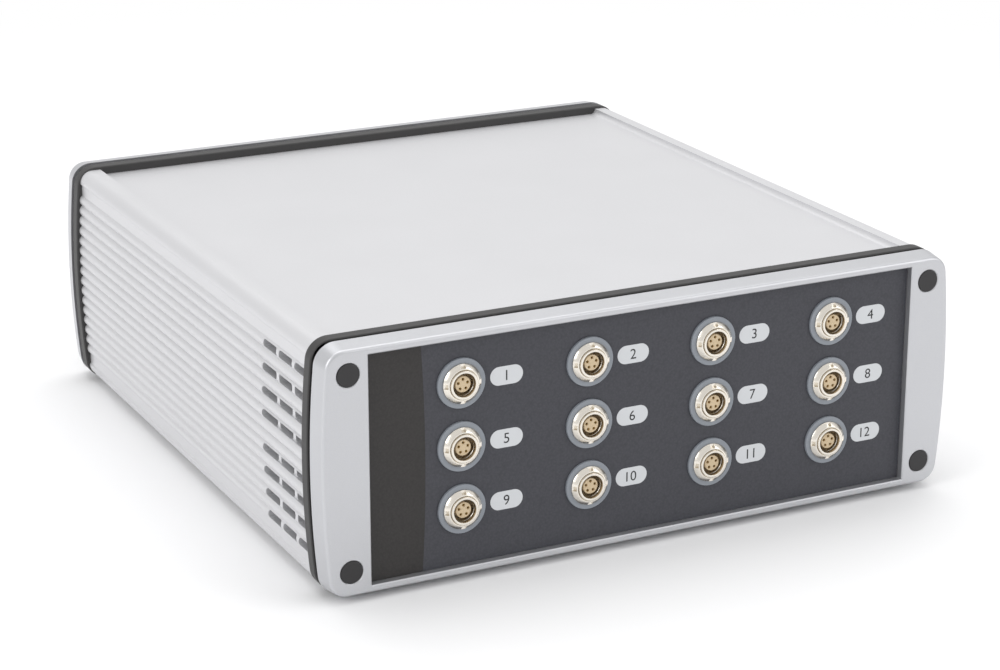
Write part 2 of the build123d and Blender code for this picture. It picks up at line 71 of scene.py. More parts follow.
def length(label, about, value):
    """A length property, given in millimetres."""
    return FloatProperty(name=label, description=about, default=value * MM, unit="LENGTH", subtype="DISTANCE")


def colour(label, about, value):
    """A linear colour property."""
    return FloatVectorProperty(
        name=label, description=about, default=value, size=3, min=0, max=1, subtype="COLOR"
    )


def share(label, about, value, top=1.0):
    """A plain number property from nothing to top."""
    return FloatProperty(name=label, description=about, default=value, min=0, max=top)


def count(label, about, value):
    """A whole number property."""
    return IntProperty(name=label, description=about, default=value, min=1)


class CaseSettings(bpy.types.PropertyGroup):
    """Sizes of the bezels, seals and shell, and their colours."""

    half_depth: length("Half depth", "Middle of the case to a bezel's face", 117.75)
    half_width: length("Half width", "Largest half width, at a bezel's inner edge", 110.6)
    half_height: length("Half height", "Largest half height, at a bezel's inner edge", 39.4)
    middle_height: length("Middle height", "Table to the middle of the case", 41.0)
    crown_radius: length("Crown radius", "Radius of the bulging side faces", 332.0)
    corner_radius: length("Corner radius", "Corner of the outline", 7.0)
    bezel_depth: length("Bezel depth", "Front to back of a bezel", 7.0)
    bezel_draft: length("Draft", "How much smaller a bezel's face is than its inner edge", 1.0)
    edge_radius: length("Edge radius", "Round edge of a bezel's face", 1.0)
    opening_width: length("Opening half width", "Half width of the bezel's opening", 94.5)
    opening_height: length("Opening half height", "Half height of the bezel's opening", 36.2)
    opening_chamfer: length("Opening chamfer", "Broken edge round the opening", 0.3)
    front_wall: length("Front wall", "Thickness of the bezel round its opening", 2.75)
    panel_width: length("Panel half width", "Half width of the pocket behind the opening", 96.4)
    panel_height: length("Panel half height", "Half height of that pocket", 37.4)
    screw_x: length("Screw across", "Middle to a corner screw, across", 100.9)
    screw_z: length("Screw up", "Middle to a corner screw, upward", 30.8)
    screw_hole: length("Screw hole", "Radius of the hole for a corner screw", 1.7)
    cap_radius: length("Cap radius", "Radius of a screw cap", 3.6)
    cap_height: length("Cap height", "Face to back of a screw cap", 1.5)
    cap_sunk: length("Cap recess", "Bezel's face to a cap's face", 0.05)
    cap_edge: length("Cap edge", "Round edge of a cap's face", 0.25)
    cap_hole: length("Cap hole", "Radius of the hole round a cap", 3.65)
    cap_depth: length("Cap depth", "Depth of that hole", 3.75)
    neck_inset: length("Neck inset", "How far the seal's neck lies in", 1.5)
    neck_width: length("Neck width", "Width of the seal's neck", 2.2)
    skirt_width: length("Skirt width", "Width of the seal's skirt", 4.4)
    skirt_edge: length("Skirt edge", "Round edge of the skirt", 0.55)
    seal_land: length("Seal land", "Corner screw to the opening of the neck", 3.9)
    seal_opening: length("Seal opening", "Half height of the opening of the neck", 33.05)
    shell_inset: length("Shell inset", "How far the shell lies in from the outline", 0.95)
    field_recess: length("Field recess", "Depth of the recessed top field", 1.9)
    rail_x: length("Rail", "Middle to the rail beside the recessed field", 100.4)
    bead_radius: length("Bead radius", "Round corner bead of the shell", 4.5)
    bead_step: length("Bead step", "How far the plain band lies in", 0.45)
    bead_drop: length("Bead drop", "Height of that step", 0.6)
    rib_count: count("Ribs", "Ribs between the middle and the plain band", 8)
    rib_pitch: length("Rib pitch", "Height of one rib on the sides", 3.71)
    rib_depth: length("Rib depth", "Depth of the valleys between ribs", 1.0)
    side_wall: length("Side wall", "Wall behind the topmost valley", 2.8)
    field_wall: length("Field wall", "Wall of the top field", 2.5)
    channel_radius: length("Screw channel", "Inside radius of the channel for a corner screw", 3.6)
    channel_hole: length("Channel hole", "Radius of the hole for its thread", 1.55)
    guide_depth: length("Guide depth", "How far a board guide stands in", 3.0)
    guide_drop: length("Guide drop", "Row of sockets to the board below it", 6.0)
    guide_near: length("Guide near side", "Middle of a board to its guide", 1.0)
    guide_far: length("Guide far side", "Middle of a board to its guide's far side", 2.2)
    vent_length: length("Vent length", "Length of a vent slot", 10.2)
    vent_height: length("Vent height", "Height of a vent slot", 2.65)
    vent_corner: length("Vent corner", "Round corner of a vent slot", 0.9)
    vent_pitch: length("Vent pitch", "From one slot of a row to the next", 12.15)
    vent_start: length("Vent start", "Bezel's face to the first slot", 12.3)
    vent_flat_x: length("Vent flat", "Middle of the case to the milled flats", 108.5)
    metal: colour("Metal", "Anodised metal of the shell", (0.66, 0.66, 0.675))
    silver: colour("Silver", "Paint of the bezels", (0.55, 0.555, 0.575))
    rubber: colour("Rubber", "Rubber of the seals and feet", (0.026, 0.025, 0.025))


class SocketSettings(bpy.types.PropertyGroup):
    """Places and sizes of the sockets, and the colours of their parts."""

    columns: count("Columns", "Sockets in a row", 4)
    rows: count("Rows", "Rows of sockets", 3)
    middle_x: length("Middle across", "Middle of the rows, across", 0.94)
    middle_z: length("Middle up", "Middle row above the middle of the case", 1.97)
    pitch_x: length("Column pitch", "From one column to the next", 43.19)
    pitch_z: length("Row pitch", "From one row to the next", 20.0)
    face_depth: length("Face depth", "Bezel's face to the foil's face", 2.5)
    washer_radius: length("Washer radius", "Grey insulating washer", 7.85)
    washer_height: length("Washer height", "Thickness of its flange", 0.8)
    washer_edge: length("Washer edge", "Round edge of its flange", 0.25)
    washer_gap: length("Washer gap", "Thread to the washer", 0.1)
    spigot_radius: length("Spigot radius", "Part of the washer inside the panel", 5.1)
    spigot_height: length("Spigot height", "How far that part reaches in", 1.6)
    nut_radius: length("Nut radius", "Outer radius of the round nut", 6.28)
    nut_face: length("Nut face", "Radius of its front face", 5.1)
    nut_height: length("Nut height", "Height of the nut", 1.55)
    nut_gap: length("Nut gap", "Thread to the nut", 0.05)
    notch_width: length("Notch width", "Width of a spanner notch", 1.5)
    thread_radius: length("Thread radius", "Outer radius of the socket's rim", 4.46)
    bore_radius: length("Bore radius", "Radius of the plug space", 3.685)
    rim_height: length("Rim height", "Foil's face to the rim", 2.8)
    body_length: length("Body length", "Rim to the back of the body", 17.5)
    body_floor: length("Body floor", "Thickness of the floor at the back", 1.0)
    body_hole: length("Body hole", "Radius of the hole in that floor", 3.1)
    flange_radius: length("Flange radius", "Flange behind the panel", 6.0)
    flange_start: length("Flange place", "Foil's face to that flange", 3.05)
    flange_height: length("Flange height", "Thickness of that flange", 1.5)
    insert_radius: length("Insert radius", "Radius of the contact insert", 2.5)
    insert_height: length("Insert height", "Foil's face to the insert's face", 1.65)
    insert_edge: length("Insert edge", "Round edge of the insert's face", 0.12)
    insert_step: length("Insert step", "Insert's face to its wide part", 5.2)
    insert_gap: length("Insert gap", "Body to that wide part", 0.08)
    contacts: count("Contacts", "Contacts of a socket", 5)
    contact_circle: length("Contact circle", "Radius of the circle of contacts", 1.6)
    contact_hole: length("Contact hole", "Radius of a contact hole", 0.47)
    hole_edge: length("Hole edge", "Broken edge of a contact hole", 0.06)
    nickel: colour("Nickel", "Nickel of the nuts and rims", (0.80, 0.755, 0.68))
    washer: colour("Washer", "Grey of the washers", (0.235, 0.255, 0.285))
    insert: colour("Insert", "Tan of the inserts", (0.60, 0.47, 0.30))


class PanelSettings(bpy.types.PropertyGroup):
    """Print on the front panel."""

    pill_width: length("Pill width", "Length of a number's field", 10.95)
    pill_height: length("Pill height", "Height of a number's field", 5.9)
    pill_x: length("Pill place", "Socket to the middle of its number", 15.2)
    figure_height: length("Figure height", "Height of a figure", 3.2)
    print_lift: length("Print thickness", "Thickness of the printed ink", 0.02)
    strip_x: length("Strip edge", "Right edge of the dark strip at its bulge", -75.55)
    strip_radius: length("Strip bulge", "Radius of that edge", 560.0)
    foil: colour("Foil", "Anthracite of the foil", (0.054, 0.055, 0.066))
    strip: colour("Strip", "Charcoal of the strip", (0.030, 0.027, 0.026))
    field: colour("Number field", "Grey of the number fields", (0.60, 0.615, 0.635))
    ink: colour("Figures", "Black of the figures", (0.012, 0.012, 0.013))


class StudioSettings(bpy.types.PropertyGroup):
    """Camera, lamps and floor."""

    lens: FloatProperty(name="Lens", description="Focal length in millimetres", default=96.715, unit="CAMERA")
    overhead: share("Overhead lamp", "Power of the softbox above, in watts", 10.0, 1000)
    left: share("Left lamp", "Power of the softbox at the left, in watts", 6.0, 1000)
    right: share("Right lamp", "Power of the softbox at the right, in watts", 5.0, 1000)
    fill: share("Fill", "Strength of the light from all round", 0.82, 10)
    floor: colour("Floor", "Colour of the floor", (0.90, 0.90, 0.905))


def settings(name):
    """One of the four groups of settings."""
    return getattr(bpy.context.scene, "potentiostat_" + name)


def socket_level(row):
    """Height of a row of sockets from the case's middle, the topmost row being 0."""
    sockets = settings("sockets")
    return sockets.middle_z + ((sockets.rows - 1) / 2 - row) * sockets.pitch_z


def wall_inside():
    """Middle of the case to the inside of its side walls."""
    case = settings("case")
    return shell_crown(case.rib_count * case.rib_pitch) - case.rib_depth - case.side_wall


# Outlines in the plane across the case: lists of (x, z) from the case's middle


def arc(x, z, radius, start, end, steps):
    """Points of an arc from start to end in degrees, both ends included."""
    angles = [math.radians(start + (end - start) * step / steps) for step in range(steps + 1)]
    return [(x + radius * math.cos(angle), z + radius * math.sin(angle)) for angle in angles]


def both_sides(right):
    """Closed outline from its right half, given from the top to the bottom."""
    return right + [(-x, z) for x, z in reversed(right)]


def rectangle(half_width, half_height):
    """Corners of a rectangle."""
    return both_sides([(half_width, half_height), (half_width, -half_height)])


def circle(x, z, radius, steps):
    """Points of a full circle."""
    return arc(x, z, radius, 0, 360, steps)[:-1]


def corner_circles(radius, steps):
    """A circle at each of the four corner screws."""
    case = settings("case")
    places = [(x * case.screw_x, z * case.screw_z) for x in (-1, 1) for z in (-1, 1)]
    return [circle(x, z, radius, steps) for x, z in places]


def case_outline(inset=0.0):
    """Outline that the bezels and seals share, moved in by inset."""
    case = settings("case")
    crown = case.crown_radius
    crown_x = case.half_width - inset - crown
    corner = case.corner_radius - inset
    corner_z = case.half_height - inset - corner
    corner_x = crown_x + math.sqrt((crown - corner) ** 2 - corner_z**2)
    lean = math.degrees(math.atan2(corner_z, corner_x - crown_x))
    right = arc(corner_x, corner_z, corner, 90, lean, CORNER_STEPS)
    right += arc(crown_x, 0, crown, lean, -lean, SIDE_STEPS)[1:-1]
    right += arc(corner_x, -corner_z, corner, -lean, -90, CORNER_STEPS)
    return both_sides(right)


def shell_crown(z):
    """Half width of the shell at height z."""
    case = settings("case")
    return case.half_width - case.shell_inset - case.crown_radius + math.sqrt(case.crown_radius**2 - z**2)


def rib(upper, lower):
    """Points of one rib of the side, an arc between two valleys."""
    case = settings("case")
    start = Vector((shell_crown(upper) - case.rib_depth, upper))
    end = Vector((shell_crown(lower) - case.rib_depth, lower))
    crest = Vector((shell_crown((upper + lower) / 2), (upper + lower) / 2))
    chord = (end - start).length / 2
    rise = (crest - (start + end) / 2).length
    radius = (chord**2 + rise**2) / (2 * rise)
    inward = ((start + end) / 2 - crest).normalized()
    centre = crest + inward * radius
    half_turn = math.degrees(math.asin(chord / radius))
    middle = math.degrees(math.atan2(crest.y - centre.y, crest.x - centre.x))
    return arc(centre.x, centre.y, radius, middle + half_turn, middle - half_turn, RIB_STEPS)


def shell_outline():
    """Outside of the shell: recessed field, rail, corner bead, plain band and ribs."""
    case = settings("case")
    top = case.half_height - case.shell_inset
    cove = case.field_recess
    bead_z = top - case.bead_radius
    bead_x = shell_crown(bead_z) - case.bead_radius
    quarter = [(0.0, top - cove)]
    quarter += arc(case.rail_x - cove, top, cove, -90, 0, COVE_STEPS)
    quarter += arc(bead_x, bead_z, case.bead_radius, 90, 0, RIB_STEPS)
    quarter += [(bead_x + case.bead_radius - case.bead_step, bead_z - case.bead_drop)]
    for index in range(case.rib_count, 0, -1):
        quarter += rib(index * case.rib_pitch, (index - 1) * case.rib_pitch)[:-1]
    valley = (shell_crown(0) - case.rib_depth, 0.0)
    right = quarter + [valley] + [(x, -z) for x, z in reversed(quarter)]
    return right[:-1] + [(-x, z) for x, z in reversed(right)][:-1]


def cavity_outline():
    """Inside of the shell: corner screw channels and three pairs of board guides on each side."""
    case = settings("case")
    top = case.half_height - case.shell_inset - case.field_recess - case.field_wall
    wall = wall_inside()
    channel = case.channel_radius
    start = 180 - math.degrees(math.asin((top - case.screw_z) / channel))
    corner = arc(case.screw_x, case.screw_z, channel, start, CHANNEL_END, CORNER_STEPS)
    corner += [(wall, case.screw_z)]
    sockets = settings("sockets")
    right = list(corner)
    tip = wall - case.guide_depth
    for row in range(sockets.rows):
        level = socket_level(row) - case.guide_drop
        for near, far in ((case.guide_far, case.guide_near), (-case.guide_near, -case.guide_far)):
            right += [(wall, level + near), (tip, level + near), (tip, level + far), (wall, level + far)]
    right += [(x, -z) for x, z in reversed(corner)]
    return both_sides(right)


# Mesh helpers. A ring is a loop of vertices across the case at one depth


def ring(mesh, outline, y, lift=0.0):
    """A ring of vertices at depth y, raised by lift."""
    return [mesh.verts.new((x, y, lift + z)) for x, z in outline]


def skin(mesh, rings):
    """Faces from each ring to the next."""
    for first, second in zip(rings, rings[1:]):
        size = len(first)
        for index in range(size):
            after = (index + 1) % size
            mesh.faces.new((first[index], first[after], second[after], second[index]))


def closed_body(mesh, rings):
    """Faces from each ring to the next, and over both ends."""
    skin(mesh, rings)
    mesh.faces.new(rings[0])
    mesh.faces.new(rings[-1])


def cover(mesh, *rings):
    """Flat faces between one outer ring and any rings inside it."""
    edges = []
    for loop in rings:
        for index, vertex in enumerate(loop):
            other = loop[(index + 1) % len(loop)]
            edges.append(mesh.edges.get((vertex, other)) or mesh.edges.new((vertex, other)))
    bmesh.ops.triangle_fill(mesh, use_beauty=True, use_dissolve=False, edges=edges)


def tube(mesh, sections, face=0.0, side=-1):
    """Rings for (outline, depth from the face) sections, joined. Returns the first and last ring."""
    middle = settings("case").middle_height
    rings = [ring(mesh, outline, face - side * depth, middle) for outline, depth in sections]
    skin(mesh, rings)
    return rings[0], rings[-1]


def turn_rings(mesh, profile):
    """A closed turned body about the Y axis, from (y, radius) points in order round its section."""
    rings = []
    for y, radius in profile:
        angles = [math.tau * step / TURN_STEPS for step in range(TURN_STEPS)]
        rings.append([mesh.verts.new((radius * math.cos(a), y, radius * math.sin(a))) for a in angles])
    skin(mesh, rings + [rings[0]])


def round_edge(inner, outer, start, end, steps):
    """Quarter round as (inset or radius, depth) pairs between two corners of a section."""
    turns = [math.pi / 2 * step / steps for step in range(steps + 1)]
    return [(inner + (outer - inner) * math.sin(t), start + (end - start) * (1 - math.cos(t))) for t in turns]


def settle(mesh):
    """Merge doubles and point the faces outward."""
    bmesh.ops.remove_doubles(mesh, verts=mesh.verts, dist=1e-6)
    bmesh.ops.recalc_face_normals(mesh, faces=mesh.faces)


def loose_object(name, mesh):
    """A plain object from a bmesh, not yet a finished piece."""
    settle(mesh)
    data = bpy.data.meshes.new(name)
    mesh.to_mesh(data)
    mesh.free()
    made = bpy.data.objects.new(name, data)
    bpy.context.scene.collection.objects.link(made)
    return made


def baked(made, name):
    """Replace an object's modifiers by their result."""
    graph = bpy.context.evaluated_depsgraph_get()
    graph.update()
    data = bpy.data.meshes.new_from_object(made.evaluated_get(graph))
    data.name = name
    made.modifiers.clear()
    made.data = data
    return made


def smooth(made, angle):
    """Smooth shading up to an angle in degrees, with flat faces kept flat."""
    made.data.shade_smooth()
    made.data.set_sharp_from_angle(angle=math.radians(angle))
    even = made.modifiers.new("Even shading", "WEIGHTED_NORMAL")
    even.keep_sharp = True


def finish_piece(made, material, slot, *replaced, angle=30.0):
    """Give a piece its finish unless it has one, and let it ride on the object."""
    if material is not None:
        made.data.materials.clear()
        made.data.materials.append(material)
    smooth(made, angle)
    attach(made, "root")
    if replaced:
        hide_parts(*replaced)
    return made


def cut(made, cutter):
    """Cut one object with another, and remove the cutter."""
    knife = made.modifiers.new("Cut", "BOOLEAN")
    knife.operation = "DIFFERENCE"
    knife.solver = "EXACT"
    knife.object = cutter
    baked(made, made.name)
    bpy.data.objects.remove(cutter)


# Node helpers


def new_tree(name, inputs):
    """A geometry tree with named inputs and its output."""
    tree = bpy.data.node_groups.new(name, "GeometryNodeTree")
    tree.interface.new_socket("Geometry", in_out="OUTPUT", socket_type="NodeSocketGeometry")
    for label, kind, value in inputs:
        socket = tree.interface.new_socket(label, in_out="INPUT", socket_type=kind)
        if value is not None:
            socket.default_value = value
    return tree


def preset(node, values):
    """Set a node's inputs by name, and return the node."""
    for label, value in values.items():
        node.inputs[label].default_value = value
    return node


def join(links, *pairs):
    """Link each output to its input."""
    for output, target in pairs:
        links.new(output, target)


def run_tree(tree, name, values):
    """Apply a tree to a new object, and return it with a plain mesh."""
    made = bpy.data.objects.new(name, bpy.data.meshes.new(name))
    bpy.context.scene.collection.objects.link(made)
    modifier = made.modifiers.new(tree.name, "NODES")
    modifier.node_group = tree
    for item in tree.interface.items_tree:
        if item.item_type == "SOCKET" and item.in_out == "INPUT" and item.name in values:
            modifier[item.identifier] = values[item.name]
    return baked(made, name)


def grid_tree():
    """Tree that repeats one part on an upright grid across the case."""
    tree = bpy.data.node_groups.get("Repeat on a grid")
    if tree:
        return tree
    inputs = [
        ("Part", "NodeSocketObject", None),
        ("Material", "NodeSocketMaterial", None),
        ("Columns", "NodeSocketInt", 2),
        ("Rows", "NodeSocketInt", 2),
        ("Width", "NodeSocketFloat", 0.1),
        ("Height", "NodeSocketFloat", 0.1),
        ("Middle", "NodeSocketVector", (0.0, 0.0, 0.0)),
    ]
    tree = new_tree("Repeat on a grid", inputs)
    nodes = tree.nodes
    source = nodes.new("NodeGroupInput")
    part = nodes.new("GeometryNodeObjectInfo")
    grid = nodes.new("GeometryNodeMeshGrid")
    stand = nodes.new("GeometryNodeTransform")
    repeat = nodes.new("GeometryNodeInstanceOnPoints")
    real = nodes.new("GeometryNodeRealizeInstances")
    finish = nodes.new("GeometryNodeSetMaterial")
    result = nodes.new("NodeGroupOutput")
    preset(stand, {"Rotation": (math.pi / 2, 0, 0)})
    join(
        tree.links,
        (source.outputs["Part"], part.inputs["Object"]),
        (source.outputs["Columns"], grid.inputs["Vertices X"]),
        (source.outputs["Rows"], grid.inputs["Vertices Y"]),
        (source.outputs["Width"], grid.inputs["Size X"]),
        (source.outputs["Height"], grid.inputs["Size Y"]),
        (source.outputs["Middle"], stand.inputs["Translation"]),
        (grid.outputs["Mesh"], stand.inputs["Geometry"]),
        (stand.outputs["Geometry"], repeat.inputs["Points"]),
        (part.outputs["Geometry"], repeat.inputs["Instance"]),
        (repeat.outputs["Instances"], real.inputs["Geometry"]),
        (real.outputs["Geometry"], finish.inputs["Geometry"]),
        (source.outputs["Material"], finish.inputs["Material"]),
        (finish.outputs["Geometry"], result.inputs["Geometry"]),
    )
    return tree


def repeat_on_grid(name, part, material, columns, rows, width, height, middle):
    """Repeat a part on a grid, remove the part and return the result."""
    values = {
        "Part": part,
        "Material": material,
        "Columns": columns,
        "Rows": rows,
        "Width": width,
        "Height": height,
        "Middle": middle,
    }
    made = run_tree(grid_tree(), name, values)
    bpy.data.objects.remove(part)
    return made


def at_sockets(name, part, material, dx=0.0):
    """Repeat a part at every socket."""
    sockets = settings("sockets")
    middle = (sockets.middle_x + dx, 0, settings("case").middle_height + sockets.middle_z)
    width = (sockets.columns - 1) * sockets.pitch_x
    height = (sockets.rows - 1) * sockets.pitch_z
    return repeat_on_grid(name, part, material, sockets.columns, sockets.rows, width, height, middle)


# Shader helpers


def new_group(name, inputs, outputs):
    """An empty shader group with named sockets. Returns it with its two end nodes."""
    group = bpy.data.node_groups.new(name, "ShaderNodeTree")
    for label, kind, value in inputs:
        socket = group.interface.new_socket(label, in_out="INPUT", socket_type=kind)
        socket.default_value = value
    for label, kind in outputs:
        group.interface.new_socket(label, in_out="OUTPUT", socket_type=kind)
    return group, group.nodes.new("NodeGroupInput"), group.nodes.new("NodeGroupOutput")


def math_node(tree, operation, first, second=None, clamp=False):
    """A math node fed by sockets or numbers. Returns its output."""
    node = tree.nodes.new("ShaderNodeMath")
    node.operation = operation
    node.use_clamp = clamp
    for index, value in enumerate((first, second)):
        if value is None:
            continue
        if isinstance(value, bpy.types.NodeSocket):
            tree.links.new(value, node.inputs[index])
        else:
            node.inputs[index].default_value = value
    return node.outputs[0]


def grain_group():
    """Fine random grain: a colour that varies, a roughness that varies, and a height."""
    tree = bpy.data.node_groups.get("Fine grain")
    if tree:
        return tree
    inputs = [
        ("Colour", "NodeSocketColor", (0.5, 0.5, 0.5, 1)),
        ("Colour change", "NodeSocketFloat", 0.1),
        ("Roughness", "NodeSocketFloat", 0.4),
        ("Roughness change", "NodeSocketFloat", 0.05),
        ("Scale", "NodeSocketFloat", 3000.0),
        ("Stretch", "NodeSocketVector", (1.0, 1.0, 1.0)),
    ]
    outputs = [("Color", "NodeSocketColor"), ("Roughness", "NodeSocketFloat"), ("Height", "NodeSocketFloat")]
    tree, source, result = new_group("Fine grain", inputs, outputs)
    nodes, links = tree.nodes, tree.links
    place = nodes.new("ShaderNodeTexCoord")
    stretch = nodes.new("ShaderNodeVectorMath")
    stretch.operation = "MULTIPLY"
    fine = preset(nodes.new("ShaderNodeTexNoise"), {"Detail": 2.0})
    wide = preset(nodes.new("ShaderNodeTexNoise"), {"Scale": 40.0, "Detail": 3.0})
    join(
        links,
        (place.outputs["Object"], stretch.inputs[0]),
        (source.outputs["Stretch"], stretch.inputs[1]),
        (stretch.outputs[0], fine.inputs["Vector"]),
        (source.outputs["Scale"], fine.inputs["Scale"]),
        (place.outputs["Object"], wide.inputs["Vector"]),
    )
    fine_swing = math_node(tree, "SUBTRACT", fine.outputs["Fac"], 0.5)
    wide_swing = math_node(tree, "SUBTRACT", wide.outputs["Fac"], 0.5)
    wide_part = math_node(tree, "MULTIPLY", wide_swing, 0.35)
    swing = math_node(tree, "ADD", fine_swing, wide_part)
    change = math_node(tree, "MULTIPLY", swing, source.outputs["Colour change"])
    level = math_node(tree, "ADD", change, 1.0)
    tint = nodes.new("ShaderNodeVectorMath")
    tint.operation = "SCALE"
    links.new(source.outputs["Colour"], tint.inputs[0])
    links.new(level, tint.inputs["Scale"])
    links.new(tint.outputs[0], result.inputs["Color"])
    rough_change = math_node(tree, "MULTIPLY", swing, source.outputs["Roughness change"])
    rough = math_node(tree, "ADD", rough_change, source.outputs["Roughness"], clamp=True)
    links.new(rough, result.inputs["Roughness"])
    links.new(fine.outputs["Fac"], result.inputs["Height"])
    return tree


def leather_group():
    """Pebbled grain of the foil: small raised cells with soft valleys, and painted shade that darkens the
    colour in the valleys.
    """
    tree = bpy.data.node_groups.get("Pebbled grain")
    if tree:
        return tree
    inputs = [
        ("Colour", "NodeSocketColor", (0.05, 0.05, 0.06, 1)),
        ("Valley shade", "NodeSocketFloat", 0.3),
        ("Scale", "NodeSocketFloat", 1400.0),
    ]
    outputs = [("Color", "NodeSocketColor"), ("Height", "NodeSocketFloat")]
    tree, source, result = new_group("Pebbled grain", inputs, outputs)
    nodes, links = tree.nodes, tree.links
    place = nodes.new("ShaderNodeTexCoord")
    bend = preset(nodes.new("ShaderNodeTexNoise"), {"Scale": 500.0, "Detail": 2.0})
    push = nodes.new("ShaderNodeVectorMath")
    push.operation = "MULTIPLY_ADD"
    push.inputs[1].default_value = (0.0006, 0.0006, 0.0006)
    cells = nodes.new("ShaderNodeTexVoronoi")
    cells.feature = "SMOOTH_F1"
    preset(cells, {"Smoothness": 0.6})
    fine = preset(nodes.new("ShaderNodeTexNoise"), {"Scale": 2600.0})
    join(
        links,
        (place.outputs["Object"], bend.inputs["Vector"]),
        (bend.outputs["Color"], push.inputs[0]),
        (place.outputs["Object"], push.inputs[2]),
        (push.outputs[0], cells.inputs["Vector"]),
        (source.outputs["Scale"], cells.inputs["Scale"]),
        (place.outputs["Object"], fine.inputs["Vector"]),
    )
    hill = math_node(tree, "SUBTRACT", 1.0, cells.outputs["Distance"])
    mottle = math_node(tree, "MULTIPLY", fine.outputs["Fac"], 0.5)
    height = math_node(tree, "ADD", hill, mottle)
    links.new(height, result.inputs["Height"])
    # Painted shade: the colour darkens away from each cell's middle, towards the valleys between cells, where
    # shade would fall
    shade = math_node(tree, "MULTIPLY", cells.outputs["Distance"], source.outputs["Valley shade"])
    level = math_node(tree, "SUBTRACT", 1.0, shade)
    tint = nodes.new("ShaderNodeVectorMath")
    tint.operation = "SCALE"
    links.new(source.outputs["Colour"], tint.inputs[0])
    links.new(level, tint.inputs["Scale"])
    links.new(tint.outputs[0], result.inputs["Color"])
    return tree


def blank_material(name):
    """A material with only a Principled shader and its output. Returns its tree and shader too."""
    material = bpy.data.materials.new(name)
    material.use_nodes = True
    return material, material.node_tree, material.node_tree.nodes["Principled BSDF"]


def grain_material(name, base, rough, metallic=0.0, change=0.1, rough_change=0.08, **more):
    """A finish with fine grain. more may hold the grain's scale, stretch and bump."""
    material, tree, shader = blank_material(name)
    nodes, links = tree.nodes, tree.links
    grain = nodes.new("ShaderNodeGroup")
    grain.node_tree = grain_group()
    values = {
        "Colour": (*base, 1),
        "Colour change": change,
        "Roughness": rough,
        "Roughness change": rough_change,
        "Scale": more.get("scale", 3000.0),
        "Stretch": more.get("stretch", (1, 1, 1)),
    }
    preset(grain, values)
    bump = preset(nodes.new("ShaderNodeBump"), {"Strength": more.get("bump", 0.15), "Distance": 0.1 * MM})
    join(
        links,
        (grain.outputs["Color"], shader.inputs["Base Color"]),
        (grain.outputs["Roughness"], shader.inputs["Roughness"]),
        (grain.outputs["Height"], bump.inputs["Height"]),
        (bump.outputs["Normal"], shader.inputs["Normal"]),
    )
    preset(shader, {"Metallic": metallic, "Specular IOR Level": 0.5, "Coat Roughness": 0.1})
    return material


def foil_material():
    """Anthracite foil with the darker strip printed at its left, both with the same grain and the same
    painted shade in its valleys.
    """
    print_set = settings("panel")
    material, tree, shader = blank_material("Panel foil")
    nodes, links = tree.nodes, tree.links
    grain = nodes.new("ShaderNodeGroup")
    grain.node_tree = leather_group()
    place = nodes.new("ShaderNodeTexCoord")
    apart = nodes.new("ShaderNodeSeparateXYZ")
    links.new(place.outputs["Object"], apart.inputs[0])
    height = math_node(tree, "SUBTRACT", apart.outputs["Z"], settings("case").middle_height)
    squared = math_node(tree, "MULTIPLY", height, height)
    fall = math_node(tree, "DIVIDE", squared, 2 * print_set.strip_radius)
    edge = math_node(tree, "SUBTRACT", print_set.strip_x, fall)
    mask = math_node(tree, "LESS_THAN", apart.outputs["X"], edge)
    pick = nodes.new("ShaderNodeMix")
    pick.data_type = "RGBA"
    pick.inputs["A"].default_value = (*print_set.foil, 1)
    pick.inputs["B"].default_value = (*print_set.strip, 1)
    links.new(mask, pick.inputs["Factor"])
    links.new(pick.outputs["Result"], grain.inputs["Colour"])
    bump = preset(nodes.new("ShaderNodeBump"), {"Strength": 0.35, "Distance": 0.08 * MM})
    join(
        links,
        (grain.outputs["Height"], bump.inputs["Height"]),
        (bump.outputs["Normal"], shader.inputs["Normal"]),
        (grain.outputs["Color"], shader.inputs["Base Color"]),
    )
    preset(shader, {"Roughness": 0.5, "Specular IOR Level": 0.4})
    return material


